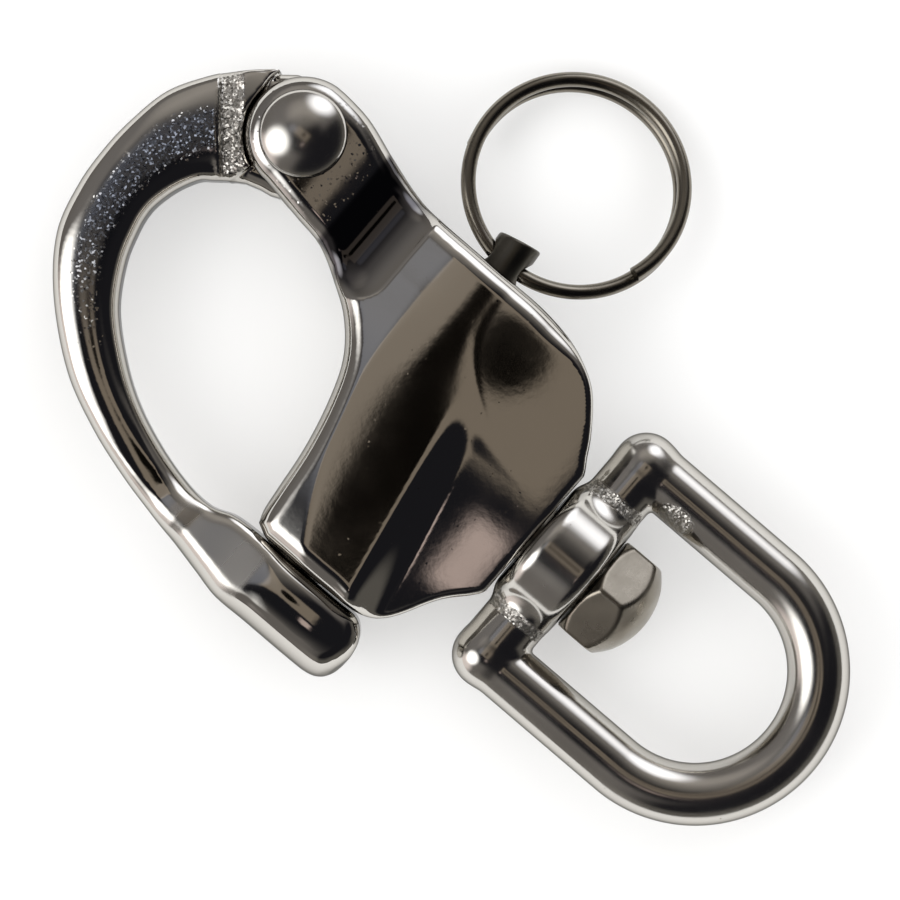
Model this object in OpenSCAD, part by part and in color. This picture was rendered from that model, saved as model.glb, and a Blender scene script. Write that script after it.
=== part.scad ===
// Swivel-eye snap shackle, closed, lying flat on its face.
// Origin: centre of the eye's round bow, on the swivel axis.
// +X runs along the swivel axis, the way the eye is pulled. +Z is across the flat of the shackle.

/* [Swivel eye] */
// Diameter of the eye's bar
eye_bar = 5.8; // [4.5:0.1:6.6]
// Clear width between the arms of the eye
eye_inside = 17; // [16:0.5:22]
// From the bow's centre back to the hub
eye_straight = 12.6; // [11:0.1:18]
// Diameter of the crossbar that carries the hub
crossbar_d = 6.1; // [5:0.1:6.6]
// Diameter of the hub
hub_d = 12.8; // [11:0.1:13.6]
// Length of the hub along the swivel axis
hub_len = 6.8; // [6.2:0.1:9]
// Rounding of the hub's rims
hub_round = 1; // [0.4:0.1:1.6]

/* [Swivel bolt] */
// Diameter of the bolt's shank
bolt_d = 6; // [4.5:0.1:6.4]
// Hexagon head across flats
head_af = 10; // [9:0.1:11]
// Height of the hexagon head with its dome
head_h = 6.2; // [5:0.1:8]
// Height of the dome on the head
head_dome = 2; // [1:0.1:3]
// Depth of the bolt in the body
bolt_depth = 11; // [7:0.1:11.5]

/* [Body] */
// Thickness of the body over its barrel
body_t = 12.6; // [11:0.1:13.6]
// Thickness over the two cheeks of the fork
fork_t = 10; // [9:0.1:10.8]
// Height of the ring side above the swivel axis
body_top = 16.1; // [15:0.1:18]
// Depth of the latch side below the swivel axis
body_low = 16.2; // [15:0.1:18]
// Half width of the face that the hub turns on
face_half = 7.4; // [6.8:0.1:8]
// Rounding of the body's edges
body_edge = 1.4; // [0.6:0.1:1.8]
// Crown of the body's broad faces
body_crown = 0.7; // [0.2:0.1:1.2]
// Radius of the scoop between the fork and the plunger's barrel
scoop_r = 6; // [5:0.1:7]
// Half thickness left under the deepest line of the scoop
scoop_half = 3.9; // [3.6:0.1:4.6]
// How far the round end of the scoop lies from the plane of the eye's middle
scoop_end = 8.4; // [7.6:0.1:9.4]
// How much thinner the body is at the swivel face
face_thin = 0.8; // [0:0.1:2.4]

/* [Hinge] */
// From the swivel face back to the hinge rivet
rivet_back = 39.7; // [39:0.1:42]
// Height of the hinge rivet above the swivel axis
rivet_up = 14; // [13.4:0.1:14.8]
// Diameter of the rivet's shank
rivet_d = 5; // [4:0.1:6]
// Diameter of the rivet's domed heads
rivet_head_d = 8.1; // [7:0.1:9]
// Height of the rivet's domed heads
rivet_head_h = 2; // [1.2:0.1:2.6]
// Radius of the round ends of the cheeks and of the hook's tongue
cheek_r = 5.4; // [5.2:0.1:6]
// Thickness of the hook's tongue between the cheeks
tongue_t = 4.4; // [3.6:0.1:4.8]

/* [Hook] */
// Thickness of the hook's arm where it leaves the hinge
arm_t = 7.4; // [6:0.1:8.4]
// Thickness of the arm at its thinnest, before the toe
arm_thin = 5.4; // [4.6:0.1:6.4]
// Thickness of the toe
toe_t = 9.6; // [8.6:0.1:10.6]
// Height of the toe below the body
toe_h = 7.1; // [6.8:0.1:8.5]
// Reach of the hook behind the hinge rivet
hook_reach = 13.3; // [12.8:0.1:15]

/* [Plunger] */
// Lean of the plunger from square to the swivel axis, in degrees
pin_lean = 5; // [4:0.5:6]
// From the swivel face back to the plunger, at the latch side
pin_back = 15.2; // [15:0.1:16]
// Diameter of the plunger's shank
pin_d = 4.2; // [3.6:0.1:4.4]
// Diameter of the plunger's nose
nose_d = 6; // [5.8:0.1:6.4]
// Length of the nose inside the body at rest
nose_in = 6; // [5:0.1:7]
// Length of the nose that stands in the toe
nose_out = 4.4; // [3.4:0.1:4.6]
// Height of the plunger's end above the ring side of the body
pin_proud = 3.8; // [3.6:0.1:5]
// Length of the shank's guide at the ring side
guide_len = 10; // [8:0.1:11]
// Diameter of the spring's wire
spring_wire = 0.6; // [0.5:0.05:0.65]
// Number of turns of the spring
spring_turns = 9; // [7:1:10]

/* [Pull ring] */
// Outer diameter of the pull ring
ring_od = 21.6; // [20:0.1:25]
// Diameter of the ring's wire
ring_wire = 1.4; // [1.1:0.05:1.5]
// Turns of wire in the split ring
ring_turns = 1.6; // [1.3:0.05:1.75]
// Droop of the ring from the plunger's direction, in degrees
ring_droop = 14; // [8:1:14]
// Lean of the ring to the eye's side in its loose hole, in degrees
ring_lean = 6; // [0:1:6]

/* [Clearances] */
// Radial clearance of a running fit
run_fit = 0.08; // [0.05:0.01:0.1]
// Clearance beside the tongue, on each side
side_gap = 0.15; // [0.1:0.01:0.25]
// End play of the hub on each side
end_play = 0.15; // [0.1:0.01:0.3]
// Clearance between the toe and the body
seat_gap = 0.2; // [0.15:0.01:0.3]
// Clearance between neighbouring turns of the split ring
turn_gap = 0.46; // [0.42:0.01:0.6]
// Clearance of the ring's wire in the plunger's cross hole
hole_gap = 0.5; // [0.46:0.01:0.6]
// Clearance between the ring's wire and the body
ring_gap = 0.4; // [0.36:0.01:0.7]

/* [Hidden] */
$fn = 64;

// Small overlap that joins or cuts cleanly
eps = 0.05;

// Stations along the swivel axis, from the eye back to the body
hub_front = -eye_straight;
head_seat = hub_front + end_play;
hub_back = hub_front - hub_len;
face_x = hub_back - end_play;
eye_mid_r = (eye_inside + eye_bar) / 2;
bolt_end = face_x - bolt_depth;

// Hinge
rivet_x = face_x - rivet_back;
rivet_y = rivet_up;
slot_w = tongue_t + 2 * side_gap;
slot_r = cheek_r + 1;

// Latch side: the body ends at latch_y, and the toe begins below it
latch_y = -body_low;
toe_y = latch_y - seat_gap;
toe_low = toe_y - toe_h;

// Plunger: its axis starts where it leaves the latch side
pin_foot = [face_x - pin_back, latch_y, 0];
pin_len = (body_top + body_low) / cos(pin_lean);
guide_at = pin_len - guide_len;
ring_hole_d = ring_wire + 2 * hole_gap;
ring_at = pin_len + ring_gap + ring_wire / 2;
ring_r = (ring_od - ring_wire) / 2;
ring_pitch = ring_wire + turn_gap;
bore_r = nose_d / 2 + run_fit;
spring_r = (pin_d / 2 + bore_r) / 2;
spring_from = nose_in + spring_wire / 2 + run_fit;
spring_to = guide_at - spring_wire / 2 - run_fit;
spring_steps = 12;
ring_steps = 24;

// A station of a cast form: two edge points, half thickness, edge rounding and crown
function station(a, b, t, r, c) = [a[0], a[1], b[0], b[1], t / 2, r, c];

// A point across a station, from its first edge point (0) to its second (1)
function across(s, t) = [s[0] + t * (s[2] - s[0]), s[1] + t * (s[3] - s[1])];

// One point of a smooth curve through four stations
function blend(p, q, r, s, t) =
    0.5 * (2 * q + (r - p) * t + (2 * p - 5 * q + 4 * r - s) * t * t
           + (3 * q - p - 3 * r + s) * t * t * t);

// A smooth run of stations through the given ones
function smooth(st, steps) = let (n = len(st) - 1) [
    for (i = [0:n - 1], k = [0:steps - 1])
        blend(st[max(i - 1, 0)], st[i], st[i + 1], st[min(i + 2, n)], k / steps),
    st[n]];

// The same stations with their second edge kept at or above a given y
function kept_above(st, y) = [for (s = st) [s[0], s[1], s[2], max(s[3], y), s[4], s[5], s[6]]];

// A quarter of a cast section: side, rounded edge, crowned face
function quarter(w, h, r, c) = let (e = min(r, 0.8 * w, 0.8 * (h - c))) [
    [w, 0],
    for (a = [0:30:90]) [w - e + e * cos(a), h - c - e + e * sin(a)],
    for (k = [2, 1, 0]) let (u = (w - e) * k / 3) [u, h - c * pow(k / 3, 2)]];

function ring_of(q) = let (m = len(q) - 1) concat(
    q,
    [for (i = [m - 1:-1:0]) [-q[i][0], q[i][1]]],
    [for (i = [1:m]) [-q[i][0], -q[i][1]]],
    [for (i = [m - 1:-1:1]) [q[i][0], -q[i][1]]]);

// The section of a station, placed between its two edge points
function section(s) = let (
    a = [s[0], s[1]], b = [s[2], s[3]], m = (a + b) / 2, d = (a - b) / norm(a - b))
    [for (p = ring_of(quarter(norm(a - b) / 2, s[4], s[5], s[6])))
        [m[0] + p[0] * d[0], m[1] + p[0] * d[1], p[1]]];

// A closed solid through a list of rings with the same number of points
module skin(rings) {
    n = len(rings);
    m = len(rings[0]);
    sides = [for (i = [0:n - 2], j = [0:m - 1], k = [0, 1])
        let (a = i * m + j, b = i * m + (j + 1) % m)
            k == 0 ? [a, a + m, b] : [b, a + m, b + m]];
    first = [for (j = [1:m - 2]) [0, j, j + 1]];
    last = [for (j = [1:m - 2]) [(n - 1) * m, (n - 1) * m + j + 1, (n - 1) * m + j]];
    polyhedron([for (r = rings, p = r) p], concat(first, last, sides));
}

// Centre points of a coil of radius r about Z, from turn t0 to turn t1
function coil(r, pitch, t0, t1, steps) = let (n = round((t1 - t0) * steps))
    [for (i = [0:n]) let (t = t0 + i / steps) [r * cos(360 * t), r * sin(360 * t), pitch * t]];

// Rings of a round wire along a coil
function wire_rings(path, d, sides) = [for (p = path) let (u = [p[0], p[1], 0] / norm([p[0], p[1]]))
    [for (k = [0:sides - 1]) p + d / 2 * (cos(-360 * k / sides) * u + [0, 0, sin(-360 * k / sides)])]];

// Least gap between turns, measured on the coil's own points
function least_gap(path, d, skip) = min([
    for (i = [0:len(path) - 1], j = [i + skip:1:len(path) - 1]) norm(path[i] - path[j]) - d]);

// Puts children on the plunger's axis, with +Z along it, at a distance from the latch side
module on_plunger(at) {
    translate(pin_foot) rotate([0, 0, pin_lean]) rotate([-90, 0, 0]) translate([0, 0, at]) children();
}

// Puts children on the swivel axis, with +Z along +X, at a given x
module on_swivel(x) {
    translate([x, 0, 0]) rotate([0, 90, 0]) children();
}

// Body: fork, barrel for the plunger and flat face for the hub
fork_end = [for (a = [80:-16:16]) station(
    [rivet_x - cheek_r * sin(a), rivet_y + cheek_r * cos(a)],
    [rivet_x - cheek_r * sin(a), rivet_y - cheek_r * cos(a)], fork_t, body_edge, 0)];
step_x = face_x - 25.3;
body_run = kept_above(smooth([
    station([rivet_x, rivet_y + cheek_r], [rivet_x, rivet_y - cheek_r], fork_t, body_edge, 0),
    station([rivet_x + 3.6, rivet_y + cheek_r - 0.4], [rivet_x + 4.2, rivet_y - cheek_r - 0.7],
            fork_t, body_edge, 0),
    station([step_x - 6.8, body_top + 1.6], [step_x - 6.8, 7.3], fork_t, body_edge, 0),
    station([step_x - 3, body_top + 0.5], [step_x - 3.6, 5.6], fork_t + 0.5, body_edge, 0.1),
    station([step_x, body_top + 0.1], [step_x - 0.8, 3.7], body_t - 1, body_edge, 0.4),
    station([step_x + 2.2, body_top], [step_x + 1.6, 0.8], body_t - 0.4, body_edge, body_crown),
    station([step_x + 4.6, body_top], [step_x + 3.1, -3], body_t, body_edge, body_crown),
    station([step_x + 6.8, body_top], [step_x + 4.2, -7.6], body_t, body_edge, body_crown),
    station([step_x + 8.6, body_top], [step_x + 4.8, -12], body_t, body_edge, body_crown),
    station([step_x + 10, body_top], [step_x + 5.2, latch_y], body_t, body_edge, body_crown),
    station([step_x + 12.4, body_top], [step_x + 9, latch_y], body_t, body_edge, body_crown),
    station([step_x + 16.4, body_top - 0.6], [step_x + 14, latch_y], body_t, body_edge, body_crown),
    station([face_x - 5.8, body_top - 1.9], [face_x - 7.2, latch_y + 0.3],
            body_t - 0.3 * face_thin, body_edge, body_crown),
    station([face_x - 3.9, body_top - 3.4], [face_x - 5, latch_y + 1.9],
            body_t - 0.5 * face_thin, body_edge, body_crown),
    station([face_x - 1.9, face_half + 2.7], [face_x - 2.8, -face_half - 3],
            body_t - 0.8 * face_thin, body_edge, body_crown),
    station([face_x, face_half], [face_x, -face_half],
            body_t - face_thin, body_edge, body_crown)], 2), latch_y);

module fork_slot() {
    translate([rivet_x, rivet_y, -slot_w / 2]) linear_extrude(slot_w) {
        circle(slot_r);
        translate([-2 * slot_r, -2 * slot_r]) square([2 * slot_r, 4 * slot_r]);
    }
}

// Scooped hollow on each side, with a round end by the loop side
scoop_x = step_x - 3.95;

module scoops() {
    for (side = [-1, 1]) translate([scoop_x, scoop_end, side * (scoop_half + scoop_r)]) {
        sphere(scoop_r);
        rotate([-90, 0, 0]) cylinder(r = scoop_r, h = body_top);
    }
}

module body() {
    color("#8f8a80") difference() {
        skin([for (s = concat(fork_end, body_run)) section(s)]);
        fork_slot();
        scoops();
        translate([rivet_x, rivet_y, -fork_t]) cylinder(d = rivet_d, h = 2 * fork_t);
        on_plunger(-nose_d) cylinder(r = bore_r, h = nose_d + guide_at);
        on_plunger(0) cylinder(d = pin_d + 2 * run_fit, h = 2 * pin_len);
        on_swivel(bolt_end) cylinder(d = bolt_d, h = 2 * bolt_depth);
    }
}

// Hook: tongue on the rivet, tapering arm and toe that closes on the latch side
back_x = rivet_x - hook_reach;
hook_run = smooth([
    station([back_x + 6.1, rivet_y + 1.9], [back_x + 10.8, rivet_y - 7.5], tongue_t, 0.6, 0),
    station([back_x + 4.5, rivet_y + 0.3], [back_x + 9.35, rivet_y - 8.65], arm_t, 1.8, 0.2),
    station([back_x + 3, rivet_y - 1.5], [back_x + 8.5, rivet_y - 9.4], arm_t, 2.2, 0.3),
    station([back_x + 1, rivet_y - 5], [back_x + 7.6, rivet_y - 11.2], arm_t, 2.4, 0.3),
    station([back_x + 0.2, rivet_y - 9.2], [back_x + 7.1, rivet_y - 13], arm_t, 2.4, 0.3),
    station([back_x, rivet_y - 12.6], [back_x + 6.95, rivet_y - 14.6], arm_t, 2.4, 0.3),
    station([back_x + 0.3, rivet_y - 16.7], [back_x + 7.3, rivet_y - 16.6], arm_t - 0.2, 2.4, 0.3),
    station([back_x + 1.65, latch_y + 8.8], [back_x + 8.35, latch_y + 10.6], arm_t - 0.4, 2.3, 0.3),
    station([back_x + 5.2, latch_y + 4.15], [back_x + 10.65, latch_y + 7], arm_t - 0.7, 2.2, 0.3),
    station([back_x + 10.6, latch_y - 0.3], [back_x + 14.3, latch_y + 3.8], arm_t - 1.1, 2.1, 0.3),
    station([back_x + 15.8, latch_y - 2.8], [back_x + 17.8, latch_y + 1.6], arm_thin + 0.4, 2, 0.3),
    station([step_x - 6.9, toe_low + 2.9], [step_x - 5.9, toe_y + 0.2], arm_thin, 1.9, 0.3),
    station([step_x - 2.5, toe_low + 1.9], [step_x - 2, toe_y - 0.8], arm_thin, 1.9, 0.3),
    station([step_x + 1, toe_low + 1.2], [step_x + 1, toe_y - 1], arm_thin + 0.6, 1.8, 0.3),
    station([step_x + 3.9, toe_low + 0.6], [step_x + 3.4, toe_y - 0.2], toe_t - 1.8, 1.6, 0.3),
    station([step_x + 6.9, toe_low], [step_x + 6.4, toe_y], toe_t - 0.2, 1.6, 0.5),
    station([step_x + 10.8, toe_low], [step_x + 10.8, toe_y], toe_t, 1.8, 0.5),
    station([face_x - 9.6, toe_low], [face_x - 9.6, toe_y], toe_t, 1.8, 0.5),
    station([face_x - 7.6, toe_low + 0.1], [face_x - 7.6, toe_y], toe_t, 1.8, 0.5),
    station([face_x - 6.4, toe_low + 0.6], [face_x - 6.4, toe_y - 0.7], toe_t - 0.6, 1.8, 0.5),
    station([face_x - 5.7, toe_low + 1.6], [face_x - 5.7, toe_y - 1.9], toe_t - 1.8, 1.8, 0.5),
    station([face_x - 5.45, toe_low + 2.8], [face_x - 5.45, toe_y - 3.2], toe_t - 3.2, 1.8, 0.5)], 2);

module hook() {
    root = [across(hook_run[0], 0), across(hook_run[4], 0.6), across(hook_run[0], 1)];
    color("#88837a") difference() {
        union() {
            skin([for (i = [len(hook_run) - 1:-1:0]) section(hook_run[i])]);
            translate([rivet_x, rivet_y, -tongue_t / 2]) linear_extrude(tongue_t) {
                circle(cheek_r - side_gap);
                polygon([
                    0.97 * cheek_r * [cos(115), sin(115)], [-4.3, 4],
                    for (p = root) p - [rivet_x, rivet_y],
                    [-1.4, -cheek_r - 1.4], [0.5, -cheek_r - 0.8], [1.4, -cheek_r - 0.7], [1.5, 0]]);
            }
        }
        translate([rivet_x, rivet_y, -tongue_t]) cylinder(d = rivet_d + 2 * run_fit, h = 2 * tongue_t);
        on_plunger(-nose_out - seat_gap) cylinder(r = bore_r, h = 2 * nose_d);
    }
}

// Rivet: shank and two domed heads, upset against the cheeks
module hinge_rivet() {
    dome_r = (pow(rivet_head_d / 2, 2) + pow(rivet_head_h, 2)) / (2 * rivet_head_h);
    color("#a09a8e") translate([rivet_x, rivet_y, 0]) {
        cylinder(d = rivet_d, h = fork_t, center = true);
        for (side = [0, 1]) mirror([0, 0, side]) translate([0, 0, fork_t / 2]) intersection() {
            translate([0, 0, rivet_head_h - dome_r]) sphere(dome_r);
            cylinder(d = rivet_head_d, h = rivet_head_h);
        }
    }
}

// Plunger: thick nose that locks the toe, and a shank with a cross hole for the ring
module plunger_pin() {
    nose_round = 0.6;
    end_at = pin_len + pin_proud / cos(pin_lean);
    color("#4a4741") difference() {
        on_plunger(0) rotate_extrude() polygon([
            [0, -nose_out], [nose_d / 2 - nose_round, -nose_out], [nose_d / 2, -nose_out + nose_round],
            [nose_d / 2, nose_in], [pin_d / 2, nose_in], [pin_d / 2, end_at - 0.3],
            [pin_d / 2 - 0.3, end_at], [0, end_at]]);
        on_plunger(ring_at) rotate([0, 90, 0]) cylinder(d = ring_hole_d, h = 2 * pin_d, center = true);
    }
}

// Spring: closed in between the nose's shoulder and the guide
spring_pitch = (spring_to - spring_from) / spring_turns;
spring_path = coil(spring_r, spring_pitch, 0, spring_turns, spring_steps);
echo(spring_least_gap = least_gap(spring_path, spring_wire, round(spring_steps / 2)));
module plunger_spring() {
    color("#8a867d") on_plunger(spring_from) skin(wire_rings(spring_path, spring_wire, 6));
}

// Split ring: one wire, coiled past a full turn, through the plunger's cross hole
ring_path = coil(ring_r, ring_pitch, -ring_turns / 2, ring_turns / 2, ring_steps);
echo(ring_least_gap = least_gap(ring_path, ring_wire, round(ring_steps / 2)));
module pull_ring() {
    color("#5b564e") on_plunger(ring_at) rotate([-ring_droop, 0, 0]) rotate([0, ring_lean, 0])
        translate([0, 0, ring_r]) rotate([90, 0, 0]) rotate([0, 0, -90])
            skin(wire_rings(ring_path, ring_wire, 6));
}

// Bolt: domed hexagon head and shank, screwed into the body
module swivel_bolt() {
    head_r = head_af / 2 / cos(30);
    bevel = head_r - head_af / 2;
    color("#77726a") {
        on_swivel(head_seat) intersection() {
            cylinder(r = head_r, h = head_h, $fn = 6);
            rotate_extrude() polygon([
                [0, 0], [head_af / 2, 0], [head_r + eps, bevel], [head_r + eps, head_h - head_dome - bevel],
                [head_af / 2, head_h - head_dome], [head_af * 0.38, head_h - head_dome * 0.45],
                [head_af * 0.2, head_h - head_dome * 0.1], [0, head_h]]);
        }
        on_swivel(bolt_end) cylinder(d = bolt_d, h = head_seat + eps - bolt_end);
    }
}

// Eye: round bow, two arms and a crossbar with the hub
module swivel_eye() {
    crossbar_x = hub_front - crossbar_d / 2;
    color("#8d887e") difference() {
        union() {
            rotate([0, 0, -90]) rotate_extrude(angle = 180) translate([eye_mid_r, 0]) circle(d = eye_bar);
            for (side = [-1, 1]) {
                translate([0, side * eye_mid_r, 0]) rotate([0, -90, 0])
                    cylinder(d = eye_bar, h = -crossbar_x);
                translate([crossbar_x, side * eye_mid_r, 0]) sphere(d = crossbar_d);
            }
            translate([crossbar_x, 0, 0]) rotate([90, 0, 0])
                cylinder(d = crossbar_d, h = 2 * eye_mid_r, center = true);
            on_swivel(hub_back) rotate_extrude() polygon([
                [0, 0], [hub_d / 2 - hub_round, 0],
                for (a = [15:15:75]) [hub_d / 2 - hub_round + hub_round * sin(a), hub_round - hub_round * cos(a)],
                [hub_d / 2, hub_round], [hub_d / 2, hub_len - hub_round],
                for (a = [75:-15:15]) [hub_d / 2 - hub_round + hub_round * sin(a),
                                       hub_len - hub_round + hub_round * cos(a)],
                [hub_d / 2 - hub_round, hub_len], [0, hub_len]]);
        }
        on_swivel(hub_back - eps) cylinder(d = bolt_d + 2 * run_fit, h = hub_len + 2 * eps);
    }
}

body();
hook();
hinge_rivet();
plunger_pin();
plunger_spring();
pull_ring();
swivel_bolt();
swivel_eye();
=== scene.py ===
"""Swivel-eye snap shackle: castings, rivet, plunger, spring, pull ring, bolt and eye around the CAD frame."""

import math

import bpy
import numpy as np
from bpy.props import FloatProperty, FloatVectorProperty, IntProperty, PointerProperty
from bpy.types import Operator, Panel, PropertyGroup
from mathutils import Matrix, Vector


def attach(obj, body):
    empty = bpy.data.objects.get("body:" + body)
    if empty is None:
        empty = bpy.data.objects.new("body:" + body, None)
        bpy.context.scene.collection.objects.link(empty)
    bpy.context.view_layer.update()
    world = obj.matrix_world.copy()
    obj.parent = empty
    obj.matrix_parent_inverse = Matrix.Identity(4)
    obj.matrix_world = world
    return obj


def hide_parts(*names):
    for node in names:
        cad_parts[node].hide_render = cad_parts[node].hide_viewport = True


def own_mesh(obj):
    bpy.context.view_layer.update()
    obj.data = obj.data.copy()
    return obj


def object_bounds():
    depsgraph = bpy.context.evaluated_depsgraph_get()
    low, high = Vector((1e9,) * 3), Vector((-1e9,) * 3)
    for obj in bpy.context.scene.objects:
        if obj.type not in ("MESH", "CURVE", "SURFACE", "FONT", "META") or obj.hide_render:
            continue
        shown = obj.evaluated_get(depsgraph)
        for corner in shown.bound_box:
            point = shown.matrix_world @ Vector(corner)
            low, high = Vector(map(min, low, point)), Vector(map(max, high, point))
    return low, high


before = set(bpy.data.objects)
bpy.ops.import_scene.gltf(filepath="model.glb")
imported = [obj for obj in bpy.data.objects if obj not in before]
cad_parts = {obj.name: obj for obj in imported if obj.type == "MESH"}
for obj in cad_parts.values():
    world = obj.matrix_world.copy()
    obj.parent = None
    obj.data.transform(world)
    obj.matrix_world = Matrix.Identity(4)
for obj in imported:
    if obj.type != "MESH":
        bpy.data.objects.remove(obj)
CAD_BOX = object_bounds()

bl_info = {
    "name": "Snap shackle",
    "version": (1, 0, 0),
    "blender": (4, 5, 0),
    "location": "View3D > Sidebar > Shackle",
    "description": "Builds a swivel-eye snap shackle piece by piece around its CAD frame",
    "category": "Add Mesh",
}

MM = 0.001

# Places in the shackle's own frame, in millimetres: the eye's bow is centred on the origin
FACE_X = -19.55
LATCH_Y = -16.2
BODY_TOP = 16.1
FACE_HALF = 7.4
RIVET = (-59.25, 14.0)
STEP_X = FACE_X - 25.3
BACK_X = RIVET[0] - 13.3
TOE_Y = LATCH_Y - 0.2
TOE_LOW = TOE_Y - 7.1
HUB_FRONT = -12.6
HUB_BACK = -19.4
CROSSBAR_X = -15.65
EYE_MID_R = 11.4
HEAD_SEAT = -12.45
BOLT_END = -30.55
PIN_FOOT = (-34.75, LATCH_Y)
PIN_LEAN_DEG = 5.0
PIN_LEAN = math.radians(PIN_LEAN_DEG)
PIN_LEN = (BODY_TOP - LATCH_Y) / math.cos(PIN_LEAN)
PIN_PROUD = 3.8
RING_AT = PIN_LEN + 1.1
GUIDE_AT = PIN_LEN - 10.0
SCOOP_X = STEP_X - 3.95
SCOOP_END = 8.4
SCOOP_R = 6.0
SCOOP_HALF = 3.9
FLANK_X = -42.1
FLANK_MID_Y = 7.0
PILLOW = (-32.4, 13.2)
BAND_AT = (-68.1, 12.3)
BAND_WAY = (0.76, 0.65)

# Sizes inside the pieces, in millimetres
BOLT_R = 3.0
BOLT_BORE = 3.08
NOSE_BORE = 3.08
SHANK_BORE = 2.18
RIVET_R = 2.5
RIVET_BORE = 2.58
RING_HOLE_R = 1.2
SPRING_R = 2.59
SPRING_WIRE = 0.3
NOSE_MID = 0.8
NOSE_HALF = 5.2
CROSSBAR_R = 3.05
TONGUE_HALF = 2.2
HOLE_EDGE = 0.25

# Steps between typed points, along the body's outline and along the hook
OUTLINE_STEPS = 6
HOOK_STEPS = 8

# The photograph's view, in millimetres: its middle, the camera's height, its width, and the way to its right
VIEW_AT = (-30.4, 0.8)
VIEW_HIGH = 400.0
VIEW_WIDE = 83.0
VIEW_RIGHT = (0.7604, 0.6494)
SENSOR = 36.0

# The room that the metal mirrors. Panels of the ceiling: reach along X and along Y, soft edge and colour
PANELS = (
    ((-0.28, 0.18), (-0.14, 0.12), 0.02, "#857a6c"),
    ((-0.28, -0.03), (-0.1, 0.06), 0.05, "#383838"),
    ((0.115, 0.18), (-0.3, -0.195), 0.02, "#c8b5ae"),
)
# Windows: way in the plane, degrees from straight up, degrees of core and of fading edge, strength and colour
WINDOWS = (
    ((-0.62, -0.78), 48, 3, 27, 2.8, "#ffffff"),
    ((-0.5, -0.87), 80, 8, 30, 0.8, "#fff3f0"),
    ((-0.2, 0.98), 66, 3, 26, 2.0, "#f6f8ff"),
    ((-0.65, 0.76), 38, 8, 34, 0.2, "#fff6ea"),
    ((-0.988, -0.153), 21.5, 3, 9, 0.25, "#dfe2ee"),
    ((-0.9, 0.1), 45, 5, 40, 0.04, "#e6e8f4"),
)
# Straight above is a dark spot with a radius of about 1 / SPOT_SCALE
SPOT_SCALE = 16.5


def linear(code):
    """An sRGB hex colour as linear RGBA."""
    parts = [int(code[i:i + 2], 16) / 255 for i in (1, 3, 5)]
    return [c / 12.92 if c <= 0.04045 else ((c + 0.055) / 1.055) ** 2.4 for c in parts] + [1.0]


class ShackleSizes(PropertyGroup):
    """Sizes of the pieces that a user would change."""
    body_half: FloatProperty(
        name="Body half thickness", description="From the mid-plane to the top of the plunger's barrel",
        default=6.3 * MM, unit="LENGTH")
    fork_half: FloatProperty(
        name="Fork half thickness", description="From the mid-plane to the outside of a cheek",
        default=5.0 * MM, unit="LENGTH")
    body_edge: FloatProperty(
        name="Body edge", description="Rounding of the body's rims",
        default=1.8 * MM, unit="LENGTH")
    cheek_radius: FloatProperty(
        name="Cheek radius", description="Radius of the round ends of the fork",
        default=5.4 * MM, unit="LENGTH")
    slot_width: FloatProperty(
        name="Slot width", description="Width of the slot between the cheeks",
        default=4.7 * MM, unit="LENGTH")
    arm_half: FloatProperty(
        name="Arm half thickness", description="Half the thickness of the hook's arm at the hinge",
        default=3.7 * MM, unit="LENGTH")
    toe_half: FloatProperty(
        name="Toe half thickness", description="Half the thickness of the hook's toe",
        default=4.8 * MM, unit="LENGTH")
    rivet_head: FloatProperty(
        name="Rivet head", description="Radius of the rivet's domed heads",
        default=4.05 * MM, unit="LENGTH")
    pin_radius: FloatProperty(
        name="Plunger shank radius", description="Radius of the plunger's shank",
        default=2.1 * MM, unit="LENGTH")
    nose_radius: FloatProperty(
        name="Plunger nose radius", description="Radius of the nose that locks the toe",
        default=3.0 * MM, unit="LENGTH")
    eye_bar: FloatProperty(
        name="Eye bar radius", description="Radius of the eye's round bar",
        default=2.9 * MM, unit="LENGTH")
    hub_radius: FloatProperty(
        name="Hub radius", description="Radius of the hub that turns on the bolt",
        default=6.4 * MM, unit="LENGTH")
    head_flats: FloatProperty(
        name="Head across flats", description="Width of the hexagon head across its flats",
        default=10.0 * MM, unit="LENGTH")
    ring_radius: FloatProperty(
        name="Ring radius", description="Radius of the split ring at the middle of its wire",
        default=10.07 * MM, unit="LENGTH")
    ring_wire: FloatProperty(
        name="Ring wire radius", description="Radius of the split ring's wire",
        default=0.7 * MM, unit="LENGTH")
    ring_turns: FloatProperty(
        name="Ring turns", description="Turns of wire in the split ring", default=1.6)
    spring_turns: IntProperty(
        name="Spring turns", description="Turns of the plunger's spring", default=9)


class ShackleFinish(PropertyGroup):
    """Colours of the finishes and of the stage."""
    cast_steel: FloatVectorProperty(
        name="Cast steel", description="Polished cast stainless steel", subtype="COLOR", size=4,
        min=0, max=1, default=linear("#cfccc6"))
    cast_skin: FloatVectorProperty(
        name="Cast skin", description="Rough skin left by the mould", subtype="COLOR", size=4,
        min=0, max=1, default=linear("#767b86"))
    pin_steel: FloatVectorProperty(
        name="Plunger steel", description="Drawn bar, dark satin", subtype="COLOR", size=4,
        min=0, max=1, default=linear("#6a6760"))
    wire_steel: FloatVectorProperty(
        name="Wire steel", description="Drawn wire of the ring and the spring", subtype="COLOR", size=4,
        min=0, max=1, default=linear("#8a857b"))
    bolt_steel: FloatVectorProperty(
        name="Bolt steel", description="Turned hexagon bar, satin", subtype="COLOR", size=4,
        min=0, max=1, default=linear("#a09a8f"))
    floor: FloatVectorProperty(
        name="Floor", description="Pale floor under the shackle", subtype="COLOR", size=4,
        min=0, max=1, default=linear("#f4f4f3"))


# Shapes: a field gives each point's distance to the surface in millimetres, less than 0 inside

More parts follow.
